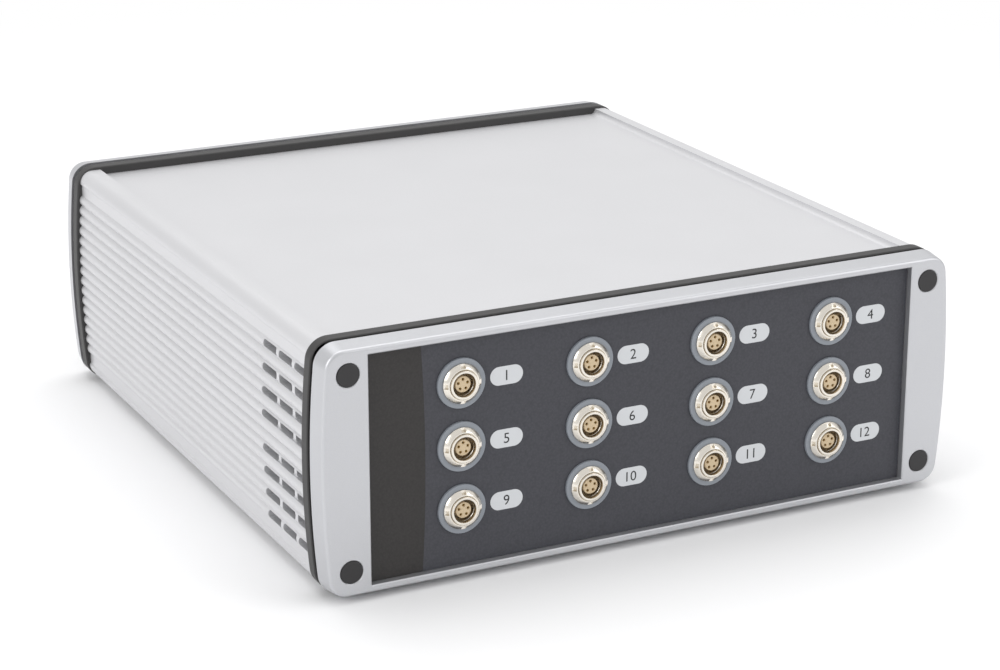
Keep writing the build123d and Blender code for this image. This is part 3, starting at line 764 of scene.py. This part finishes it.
def material_set(name):
    """A finish by name, made once."""
    found = bpy.data.materials.get(name)
    if found:
        return found
    case, sockets, prints = settings("case"), settings("sockets"), settings("panel")
    if name == "Panel foil":
        return foil_material()
    # Colour, roughness, metallic, change of colour, change of roughness, and the grain
    soft_stretch = (1, 0.5, 1)
    finishes = {
        "Anodised shell": (
            case.metal, 0.45, 0.62, 0.09, 0.10, dict(scale=3800.0, bump=0.16, stretch=soft_stretch)
        ),
        "Silver paint": (case.silver, 0.40, 0.80, 0.16, 0.10, dict(scale=5200.0, bump=0.12)),
        "Seal rubber": (case.rubber, 0.48, 0.0, 0.25, 0.10, dict(scale=1800.0, bump=0.12)),
        "Foot rubber": (case.rubber, 0.7, 0.0, 0.25, 0.10, dict(scale=900.0, bump=0.3)),
        "Cap plastic": ((0.016, 0.015, 0.016), 0.38, 0.0, 0.15, 0.10, dict(scale=2500.0, bump=0.08)),
        "Washer plastic": (sockets.washer, 0.36, 0.0, 0.08, 0.08, dict(scale=2500.0, bump=0.05)),
        "Nickel": (sockets.nickel, 0.20, 1.0, 0.06, 0.10, dict(scale=4000.0, bump=0.05)),
        "Insert resin": (sockets.insert, 0.35, 0.0, 0.14, 0.10, dict(scale=2600.0, bump=0.08)),
        "Gold contact": ((0.55, 0.36, 0.10), 0.3, 1.0, 0.1, 0.1, dict(scale=5000.0)),
        "Number field": (prints.field, 0.42, 0.0, 0.04, 0.05, dict(scale=2600.0, bump=0.1)),
        "Figure ink": (prints.ink, 0.45, 0.0, 0.1, 0.05, dict(scale=2600.0, bump=0.1)),
        "Panel metal": (case.metal, 0.4, 0.9, 0.08, 0.1, dict(scale=2500.0, stretch=(0.05, 1, 1))),
        "Rear panel coat": ((0.045, 0.045, 0.052), 0.5, 0.0, 0.2, 0.1, dict(scale=2200.0, bump=0.35)),
        "Zinc steel": ((0.58, 0.58, 0.57), 0.3, 1.0, 0.1, 0.12, dict(scale=2500.0)),
        "Board varnish": ((0.015, 0.115, 0.045), 0.3, 0.0, 0.5, 0.1, dict(scale=700.0, bump=0.15)),
        "Black moulding": ((0.02, 0.02, 0.021), 0.45, 0.0, 0.2, 0.1, dict(scale=2200.0, bump=0.15)),
        "Tin shell": ((0.62, 0.61, 0.58), 0.28, 1.0, 0.1, 0.12, dict(scale=2200.0, stretch=(1, 0.1, 1))),
    }
    base, rough, metallic, change, rough_change, more = finishes[name]
    return grain_material(name, tuple(base), rough, metallic, change, rough_change, **more)


def dress(name, *nodes):
    """Give CAD nodes a finish."""
    material = material_set(name)
    for node in nodes:
        target = NODES[node]
        if not target.material_slots:
            target.data.materials.append(material)
        for place in target.material_slots:
            place.material = material


# Operators, one for each piece or group of like pieces


class POTENTIOSTAT_OT_shell(bpy.types.Operator):
    """Extruded shell with its ribs and vent slots."""

    bl_idname = "potentiostat.shell"
    bl_label = "Shell"

    def execute(self, context):
        case = settings("case")
        end = case.half_depth - case.bezel_depth - case.neck_width
        mesh = bmesh.new()
        outer = tube(mesh, [(shell_outline(), -end), (shell_outline(), end)])
        inner = tube(mesh, [(cavity_outline(), -end), (cavity_outline(), end)])
        holes = corner_circles(case.channel_hole, SCREW_STEPS)
        channels = [tube(mesh, [(hole, -end), (hole, end)]) for hole in holes]
        for index in (0, 1):
            cover(mesh, outer[index], inner[index], *[channel[index] for channel in channels])
        shell = loose_object("shell_metal", mesh)
        cut(shell, vent_flats())
        cut(shell, vent_slots())
        finish_piece(shell, material_set("Anodised shell"), "shell_aluminium", "shell")
        return {"FINISHED"}


def rounded_slot(half_length, half_height, corner):
    """Rounded rectangle, as a list of points."""
    points = []
    for x, z, start in ((1, 1, 90), (1, -1, 0), (-1, -1, -90), (-1, 1, -180)):
        middle_x, middle_z = x * (half_length - corner), z * (half_height - corner)
        points += arc(middle_x, middle_z, corner, start, start - 90, SLOT_STEPS)
    return points


def vent_levels():
    """Heights of the vent rows from the case's middle."""
    case = settings("case")
    heights = [(ribs - 0.5) * case.rib_pitch for ribs in range(case.rib_count, 0, -2)]
    return [side * height for height in heights for side in (-1, 1)]


def vent_cutter(name, places, body_length, inner_x):
    """Bodies that cut the vents on both sides, from inner_x outward, at the places along the case."""
    case = settings("case")
    beyond = case.half_width + CUT_SPARE
    outline = rounded_slot(body_length / 2, case.vent_height / 2, case.vent_corner)
    mesh = bmesh.new()
    for side in (-1, 1):
        for level in vent_levels():
            height = case.middle_height + level
            for y in places:
                rings = []
                for x in (inner_x, beyond):
                    rings.append([mesh.verts.new((side * x, y + u, height + v)) for u, v in outline])
                closed_body(mesh, rings)
    return loose_object(name, mesh)


def vent_flats():
    """Cutter of the flats milled along each row of vents."""
    case = settings("case")
    run = 2 * case.vent_pitch + case.vent_length
    return vent_cutter("vent_flats", [case.vent_start - case.half_depth + run / 2], run, case.vent_flat_x)


def vent_slots():
    """Cutter of the slots through the wall."""
    case = settings("case")
    first = case.vent_start - case.half_depth + case.vent_length / 2
    places = [first + n * case.vent_pitch for n in range(3)]
    return vent_cutter("vent_slots", places, case.vent_length, wall_inside() - CUT_SPARE / 2)


class POTENTIOSTAT_OT_bezels(bpy.types.Operator):
    """Front and rear bezels."""

    bl_idname = "potentiostat.bezels"
    bl_label = "Bezels"

    def execute(self, context):
        case = settings("case")
        for name, side in (("front", -1), ("rear", 1)):
            mesh = bmesh.new()
            front = side * case.half_depth
            radius, back = case.edge_radius, case.bezel_depth
            sections = []
            for inset, depth in round_edge(radius, 0.0, 0.0, radius, BEZEL_EDGE_STEPS):
                drafted = case.bezel_draft * (1 - depth / back)
                sections.append((case_outline(inset + drafted), depth))
            sections.append((case_outline(), back))
            outer = tube(mesh, sections, front, side)
            wide = case.opening_chamfer
            window = rectangle(case.opening_width, case.opening_height)
            wide_window = rectangle(case.opening_width + wide, case.opening_height + wide)
            pocket = rectangle(case.panel_width, case.panel_height)
            sections = [(wide_window, 0), (window, wide), (window, case.front_wall)]
            sections += [(pocket, case.front_wall), (pocket, back)]
            inner = [tube(mesh, sections, front, side)]
            circles = [
                (case.cap_hole + wide, 0),
                (case.cap_hole, wide),
                (case.cap_hole, case.cap_depth),
                (case.screw_hole, case.cap_depth),
                (case.screw_hole, back),
            ]
            for index in range(4):
                sections = []
                for size, depth in circles:
                    sections.append((corner_circles(size, CAP_HOLE_STEPS)[index], depth))
                inner.append(tube(mesh, sections, front, side))
            for index in (0, 1):
                cover(mesh, outer[index], *[loops[index] for loops in inner])
            piece = loose_object(name + "_bezel_casting", mesh)
            finish_piece(piece, material_set("Silver paint"), "bezel_silver", name + "_bezel")
        return {"FINISHED"}


class POTENTIOSTAT_OT_seals(bpy.types.Operator):
    """Rubber seals with their skirts."""

    bl_idname = "potentiostat.seals"
    bl_label = "Seals"

    def execute(self, context):
        case = settings("case")
        for name, side in (("front", -1), ("rear", 1)):
            mesh = bmesh.new()
            start = side * (case.half_depth - case.bezel_depth)
            neck, end, edge = case.neck_width, case.neck_width + case.skirt_width, case.skirt_edge
            neck_outline = case_outline(case.neck_inset)
            sections = [(neck_outline, 0), (neck_outline, neck)]
            turns = round_edge(edge, 0.0, neck, neck + edge, SKIRT_EDGE_STEPS)
            turns += reversed(round_edge(edge, 0.0, end, end - edge, SKIRT_EDGE_STEPS))
            sections += [(case_outline(inset), depth) for inset, depth in turns]
            outer = tube(mesh, sections, start, side)
            window = rectangle(case.screw_x - case.seal_land, case.seal_opening)
            insides = [window] + corner_circles(case.screw_hole, SCREW_STEPS)
            inner = [tube(mesh, [(inside, 0), (inside, neck)], start, side) for inside in insides]
            skirt = tube(mesh, [(shell_outline(), neck), (shell_outline(), end)], start, side)
            cover(mesh, outer[0], *[loops[0] for loops in inner])
            cover(mesh, skirt[0], *[loops[1] for loops in inner])
            cover(mesh, outer[1], skirt[1])
            piece = loose_object(name + "_seal_rubber", mesh)
            finish_piece(piece, material_set("Seal rubber"), "seal_rubber", name + "_seal", angle=40)
        return {"FINISHED"}


class POTENTIOSTAT_OT_caps(bpy.types.Operator):
    """Screw caps at the bezels' corners, and the screws under them."""

    bl_idname = "potentiostat.caps"
    bl_label = "Screw caps"

    def execute(self, context):
        case = settings("case")
        parts = []
        width, height = 2 * case.screw_x, 2 * case.screw_z
        edge, radius = case.cap_edge, case.cap_radius
        for side in (-1, 1):
            face = side * (case.half_depth - case.cap_sunk)
            back = side * (case.half_depth - case.cap_sunk - case.cap_height)
            rounding = round_edge(radius - edge, radius, face, face - side * edge, EDGE_STEPS)
            mesh = bmesh.new()
            sections = [(radius, back)] + rounding[::-1]
            rings = [ring(mesh, circle(0, 0, size, CAP_STEPS), y) for size, y in sections]
            closed_body(mesh, rings)
            part = loose_object("cap_pattern", mesh)
            middle = (0, 0, case.middle_height)
            plastic = material_set("Cap plastic")
            parts.append(repeat_on_grid("caps", part, plastic, 2, 2, width, height, middle))
        for name, piece in zip(("front_caps", "rear_caps"), parts):
            piece.name = name
            finish_piece(piece, None, "cap_black")
        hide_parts("screw_caps")
        dress("Zinc steel", "bezel_screws")
        return {"FINISHED"}


class POTENTIOSTAT_OT_panel(bpy.types.Operator):
    """Front panel, its foil and the print on it."""

    bl_idname = "potentiostat.panel"
    bl_label = "Front panel"

    def execute(self, context):
        dress("Panel metal", "front_panel")
        dress("Zinc steel", "panel_screws")
        dress("Panel foil", "front_overlay")
        case, sockets, prints = settings("case"), settings("sockets"), settings("panel")
        face = sockets.face_depth - case.half_depth
        mesh = bmesh.new()
        half = prints.pill_height / 2
        outline = arc(prints.pill_width / 2 - half, 0, half, 90, -90, SIDE_STEPS)
        outline += arc(half - prints.pill_width / 2, 0, half, 270, 90, SIDE_STEPS)
        closed_body(mesh, [ring(mesh, outline, y) for y in (face - prints.print_lift, face + PRINT_SINK)])
        pill = loose_object("pill_pattern", mesh)
        pills = at_sockets("number_fields", pill, material_set("Number field"), prints.pill_x)
        finish_piece(pills, None, "overlay_foil")
        number = 0
        for row in range(sockets.rows):
            for column in range(sockets.columns):
                number += 1
                x = sockets.middle_x + (column - (sockets.columns - 1) / 2) * sockets.pitch_x + prints.pill_x
                draw_number(number, x, face - prints.print_lift, case.middle_height + socket_level(row))
        return {"FINISHED"}


def draw_number(number, x, y, z):
    """Print a number in the middle of its field."""
    prints = settings("panel")
    text = bpy.data.curves.new(f"number_{number}", "FONT")
    text.body = str(number)
    text.align_x = "CENTER"
    text.align_y = "CENTER"
    text.size = 1.0
    text.extrude = 0.0
    made = bpy.data.objects.new(f"number_{number}", text)
    bpy.context.scene.collection.objects.link(made)
    graph = bpy.context.evaluated_depsgraph_get()
    data = bpy.data.meshes.new_from_object(made.evaluated_get(graph))
    bpy.data.objects.remove(made)
    heights = [v.co.y for v in data.vertices]
    widths = [v.co.x for v in data.vertices]
    scale = prints.figure_height / (max(heights) - min(heights))
    middle_u = (max(widths) + min(widths)) / 2
    middle_v = (max(heights) + min(heights)) / 2
    for vertex in data.vertices:
        u, v = (vertex.co.x - middle_u) * scale, (vertex.co.y - middle_v) * scale
        vertex.co = (x + u, y - prints.print_lift, z + v)
    mesh = bmesh.new()
    mesh.from_mesh(data)
    bmesh.ops.remove_doubles(mesh, verts=mesh.verts, dist=1e-6)
    faces = list(mesh.faces)
    grown = bmesh.ops.extrude_face_region(mesh, geom=faces)
    moved = [item for item in grown["geom"] if isinstance(item, bmesh.types.BMVert)]
    bmesh.ops.translate(mesh, verts=moved, vec=(0, prints.print_lift, 0))
    bmesh.ops.recalc_face_normals(mesh, faces=mesh.faces)
    mesh.to_mesh(data)
    mesh.free()
    figure = bpy.data.objects.new(f"number_{number}", data)
    bpy.context.scene.collection.objects.link(figure)
    finish_piece(figure, material_set("Figure ink"), "overlay_foil")


class POTENTIOSTAT_OT_washers(bpy.types.Operator):
    """Grey insulating washers."""

    bl_idname = "potentiostat.washers"
    bl_label = "Washers"

    def execute(self, context):
        case, sockets = settings("case"), settings("sockets")
        face = sockets.face_depth - case.half_depth
        front = face - sockets.washer_height
        edge, radius = sockets.washer_edge, sockets.washer_radius
        inner = sockets.thread_radius + sockets.washer_gap
        spigot, end = sockets.spigot_radius, face + sockets.spigot_height
        rounding = round_edge(radius - edge, radius, front, front + edge, EDGE_STEPS)
        profile = [(y, size) for size, y in rounding]
        profile += [(face, radius), (face, spigot), (end, spigot), (end, inner), (front, inner)]
        mesh = bmesh.new()
        turn_rings(mesh, profile)
        washer = loose_object("washer_pattern", mesh)
        washers = at_sockets("insulating_washers", washer, material_set("Washer plastic"))
        finish_piece(washers, None, "washer_grey", "socket_washers")
        dress("Washer plastic", "back_washers")
        return {"FINISHED"}


# The nut's section in millimetres, as (depth, radius) changes from four of its corners
NUT_SIDE = ((0.0, -0.12), (-0.12, 0.0), (-0.38, 0.0), (-0.52, -0.08))
NUT_FACE = ((0.28, 0.22), (0.1, 0.04), (0.0, -0.18))
NUT_LIP = ((0.0, 0.22), (0.22, 0.0))
NOTCH_START = 0.42 * MM
NOTCH_SINK = 0.02 * MM


class POTENTIOSTAT_OT_nuts(bpy.types.Operator):
    """Round nuts with coned faces and spanner notches."""

    bl_idname = "potentiostat.nuts"
    bl_label = "Nuts"

    def execute(self, context):
        case, sockets = settings("case"), settings("sockets")
        seat = sockets.face_depth - case.half_depth - sockets.washer_height
        front = seat - sockets.nut_height
        radius, top = sockets.nut_radius, sockets.nut_face
        inner = sockets.thread_radius + sockets.nut_gap
        profile = [(seat, inner)]
        for y, size, changes in ((seat, radius, NUT_SIDE), (front, top, NUT_FACE), (front, inner, NUT_LIP)):
            profile += [(y + depth * MM, size + change * MM) for depth, change in changes]
        mesh = bmesh.new()
        turn_rings(mesh, profile)
        nut = loose_object("nut_pattern", mesh)
        mesh = bmesh.new()
        half = sockets.notch_width / 2
        for turn in range(4):
            direction = Matrix.Rotation(turn * math.pi / 2, 4, "Y")
            near, far = top - NOTCH_SINK, radius + CUT_SPARE
            corners = ((near, -half), (near, half), (far, half), (far, -half))
            loops = []
            for y in (seat - NOTCH_START, front - CUT_SPARE):
                loops.append([mesh.verts.new(direction @ Vector((u, y, v))) for u, v in corners])
            closed_body(mesh, loops)
        cut(nut, loose_object("notches", mesh))
        nuts = at_sockets("round_nuts", nut, material_set("Nickel"))
        finish_piece(nuts, None, "nickel", "socket_nuts", angle=25)
        return {"FINISHED"}


# Sections in millimetres, as (depth from the rim, change of radius) from the thread or the bore
RIM_OUTSIDE = ((0.0, -0.16), (0.05, -0.05), (0.16, 0.0))
KEY_RING = ((1.9, 0.0), (1.8, -0.08), (1.6, -0.08), (1.5, 0.0))
RIM_INSIDE = ((0.16, 0.0), (0.05, 0.05), (0.0, 0.16))
EDGE_SHARE = 0.3


class POTENTIOSTAT_OT_sockets(bpy.types.Operator):
    """Socket bodies with their rims, and the inserts with their contacts."""

    bl_idname = "potentiostat.sockets"
    bl_label = "Sockets"

    def execute(self, context):
        case, sockets = settings("case"), settings("sockets")
        face = sockets.face_depth - case.half_depth
        rim = face - sockets.rim_height
        end = rim + sockets.body_length
        floor = end - sockets.body_floor
        flange = face + sockets.flange_start
        flange_end = flange + sockets.flange_height
        thread, bore = sockets.thread_radius, sockets.bore_radius
        profile = [(rim + depth * MM, thread + change * MM) for depth, change in RIM_OUTSIDE]
        profile += [(flange, thread), (flange, sockets.flange_radius), (flange_end, sockets.flange_radius)]
        profile += [(flange_end, thread), (end, thread), (end, sockets.body_hole), (floor, sockets.body_hole)]
        profile += [(floor, bore)]
        profile += [(rim + depth * MM, bore + change * MM) for depth, change in KEY_RING + RIM_INSIDE]
        mesh = bmesh.new()
        turn_rings(mesh, profile)
        body = loose_object("body_pattern", mesh)
        bodies = at_sockets("socket_bodies", body, material_set("Nickel"))
        total = sockets.columns * sockets.rows
        finish_piece(bodies, None, "nickel", *[f"socket_shell_{n + 1}" for n in range(total)])

        tip = face - sockets.insert_height
        base = tip + sockets.insert_step
        edge, radius, wide = sockets.insert_edge, sockets.insert_radius, bore - sockets.insert_gap
        mesh = bmesh.new()
        sections = [(radius - edge, tip), (radius - edge * EDGE_SHARE, tip + edge * EDGE_SHARE)]
        sections += [(radius, tip + edge), (radius, base), (wide, base), (wide, floor)]
        rings = [ring(mesh, circle(0, 0, size, INSERT_STEPS), y) for size, y in sections]
        skin(mesh, rings)
        ends = [[rings[0]], [rings[-1]]]
        hole, broken = sockets.contact_hole, sockets.hole_edge
        for index in range(sockets.contacts):
            turn = math.radians(90 + 360 / sockets.contacts * index)
            x, z = sockets.contact_circle * math.cos(turn), sockets.contact_circle * math.sin(turn)
            sections = ((hole + broken, tip), (hole, tip + broken), (hole, floor))
            rings = [ring(mesh, circle(x, z, size, CONTACT_STEPS), y) for size, y in sections]
            skin(mesh, rings)
            ends[0].append(rings[0])
            ends[1].append(rings[-1])
        for loops in ends:
            cover(mesh, *loops)
        insert = loose_object("insert_pattern", mesh)
        inserts = at_sockets("contact_inserts", insert, material_set("Insert resin"))
        finish_piece(inserts, None, "insert_tan", *[f"socket_insert_{n + 1}" for n in range(total)])
        dress("Gold contact", "socket_contacts")
        return {"FINISHED"}


class POTENTIOSTAT_OT_rear(bpy.types.Operator):
    """Rear panel with its inlets."""

    bl_idname = "potentiostat.rear"
    bl_label = "Rear panel"

    def execute(self, context):
        dress("Rear panel coat", "rear_panel")
        dress("Black moulding", "power_inlet")
        dress("Tin shell", "data_socket")
        dress("Nickel", "earth_socket")
        dress("Zinc steel", "earth_nut")
        return {"FINISHED"}


class POTENTIOSTAT_OT_feet(bpy.types.Operator):
    """Rubber feet."""

    bl_idname = "potentiostat.feet"
    bl_label = "Feet"

    def execute(self, context):
        dress("Foot rubber", *[f"foot_{number}" for number in range(1, 5)])
        return {"FINISHED"}


class POTENTIOSTAT_OT_boards(bpy.types.Operator):
    """Boards and what holds and joins them."""

    bl_idname = "potentiostat.boards"
    bl_label = "Boards"

    def execute(self, context):
        boards = [f"channel_board_{number}" for number in range(1, 4)]
        dress("Board varnish", "socket_board", "controller_board", *boards)
        ends = [f"{end}_connector_{number}" for number in range(1, 4) for end in ("front", "rear")]
        dress("Black moulding", *ends)
        dress("Zinc steel", "board_standoffs", "board_screws")
        return {"FINISHED"}


CAMERA_PLACE = (-0.38820, -0.78817, 0.33027)
CAMERA_VIEW = (0.42457, 0.84690, -0.32017)
SENSOR_WIDTH = 36.0
LAMP_AIM = (0, 0, 0.04)
# Place of each softbox and the length of its sides, under the name of its power's setting
LAMPS = {
    "overhead": ((0.1, 0.35, 1.5), 1.5),
    "left": ((-1.3, -0.35, 0.75), 0.9),
    "right": ((1.1, -1.1, 0.9), 0.9),
}
FLOOR_REACH = 6.0
# Distances from the middle between which the floor fades into the white background
FADE_START = 0.28
FADE_END = 0.75


class POTENTIOSTAT_OT_studio(bpy.types.Operator):
    """Camera, lamps, floor and background."""

    bl_idname = "potentiostat.studio"
    bl_label = "Studio"

    def execute(self, context):
        studio = settings("studio")
        scene = context.scene
        scene.view_settings.view_transform = "Standard"
        lens = bpy.data.cameras.new("Camera")
        lens.lens = studio.lens
        lens.sensor_width = SENSOR_WIDTH
        lens.clip_start = 0.01
        camera = bpy.data.objects.new("Camera", lens)
        scene.collection.objects.link(camera)
        camera.location = CAMERA_PLACE
        camera.rotation_euler = Vector(CAMERA_VIEW).to_track_quat("-Z", "Y").to_euler()
        scene.camera = camera

        for name, (place, extent) in LAMPS.items():
            light = bpy.data.lights.new(name.capitalize(), "AREA")
            light.shape = "SQUARE"
            light.size = extent
            light.energy = getattr(studio, name)
            lamp = bpy.data.objects.new(name.capitalize(), light)
            scene.collection.objects.link(lamp)
            lamp.location = place
            lamp.rotation_euler = (Vector(LAMP_AIM) - lamp.location).to_track_quat("-Z", "Y").to_euler()

        world = bpy.data.worlds.new("World")
        scene.world = world
        world.use_nodes = True
        tree = world.node_tree
        nodes, links = tree.nodes, tree.links
        background = nodes["Background"]
        preset(background, {"Color": (1, 1, 1, 1)})
        path = nodes.new("ShaderNodeLightPath")
        seen = math_node(tree, "MULTIPLY", path.outputs["Is Camera Ray"], 1.0 - studio.fill)
        strength = math_node(tree, "ADD", seen, studio.fill)
        links.new(strength, background.inputs["Strength"])

        mesh = bmesh.new()
        corners = ((-1, -1), (1, -1), (1, 1), (-1, 1))
        mesh.faces.new([mesh.verts.new((x * FLOOR_REACH, y * FLOOR_REACH, 0)) for x, y in corners])
        floor = loose_object("floor", mesh)
        material, tree, shader = blank_material("Studio floor")
        nodes, links = tree.nodes, tree.links
        preset(shader, {"Base Color": (*studio.floor, 1), "Roughness": 0.6})
        place = nodes.new("ShaderNodeTexCoord")
        distance = nodes.new("ShaderNodeVectorMath")
        distance.operation = "LENGTH"
        links.new(place.outputs["Object"], distance.inputs[0])
        fade = nodes.new("ShaderNodeMapRange")
        fade.interpolation_type = "SMOOTHSTEP"
        preset(fade, {"From Min": FADE_START, "From Max": FADE_END})
        links.new(distance.outputs["Value"], fade.inputs["Value"])
        path = nodes.new("ShaderNodeLightPath")
        seen = math_node(tree, "MULTIPLY", fade.outputs["Result"], path.outputs["Is Camera Ray"])
        white = nodes.new("ShaderNodeEmission")
        mix = nodes.new("ShaderNodeMixShader")
        join(
            links,
            (seen, mix.inputs["Fac"]),
            (shader.outputs[0], mix.inputs[1]),
            (white.outputs[0], mix.inputs[2]),
            (mix.outputs[0], nodes["Material Output"].inputs["Surface"]),
        )
        floor.data.materials.append(material)
        return {"FINISHED"}


class POTENTIOSTAT_PT_sidebar(bpy.types.Panel):
    """Lists the operators of the pieces and the studio."""

    bl_label = "Potentiostat"
    bl_idname = "POTENTIOSTAT_PT_sidebar"
    bl_space_type = "VIEW_3D"
    bl_region_type = "UI"
    bl_category = "Potentiostat"

    def draw(self, context):
        for operator in OPERATORS:
            self.layout.operator(operator.bl_idname)


SETTINGS = {
    "case": CaseSettings,
    "sockets": SocketSettings,
    "panel": PanelSettings,
    "studio": StudioSettings,
}
OPERATORS = (
    POTENTIOSTAT_OT_shell,
    POTENTIOSTAT_OT_bezels,
    POTENTIOSTAT_OT_seals,
    POTENTIOSTAT_OT_caps,
    POTENTIOSTAT_OT_panel,
    POTENTIOSTAT_OT_washers,
    POTENTIOSTAT_OT_nuts,
    POTENTIOSTAT_OT_sockets,
    POTENTIOSTAT_OT_rear,
    POTENTIOSTAT_OT_feet,
    POTENTIOSTAT_OT_boards,
    POTENTIOSTAT_OT_studio,
)


def register():
    for group in SETTINGS.values():
        bpy.utils.register_class(group)
    for operator in OPERATORS:
        bpy.utils.register_class(operator)
    bpy.utils.register_class(POTENTIOSTAT_PT_sidebar)
    for name, group in SETTINGS.items():
        setattr(bpy.types.Scene, "potentiostat_" + name, PointerProperty(type=group))


def unregister():
    for name in SETTINGS:
        delattr(bpy.types.Scene, "potentiostat_" + name)
    bpy.utils.unregister_class(POTENTIOSTAT_PT_sidebar)
    for operator in reversed(OPERATORS):
        bpy.utils.unregister_class(operator)
    for group in SETTINGS.values():
        bpy.utils.unregister_class(group)


def main():
    register()
    for operator in OPERATORS:
        group, action = operator.bl_idname.split(".")
        getattr(getattr(bpy.ops, group), action)()


if __name__ == "__main__":
    main()
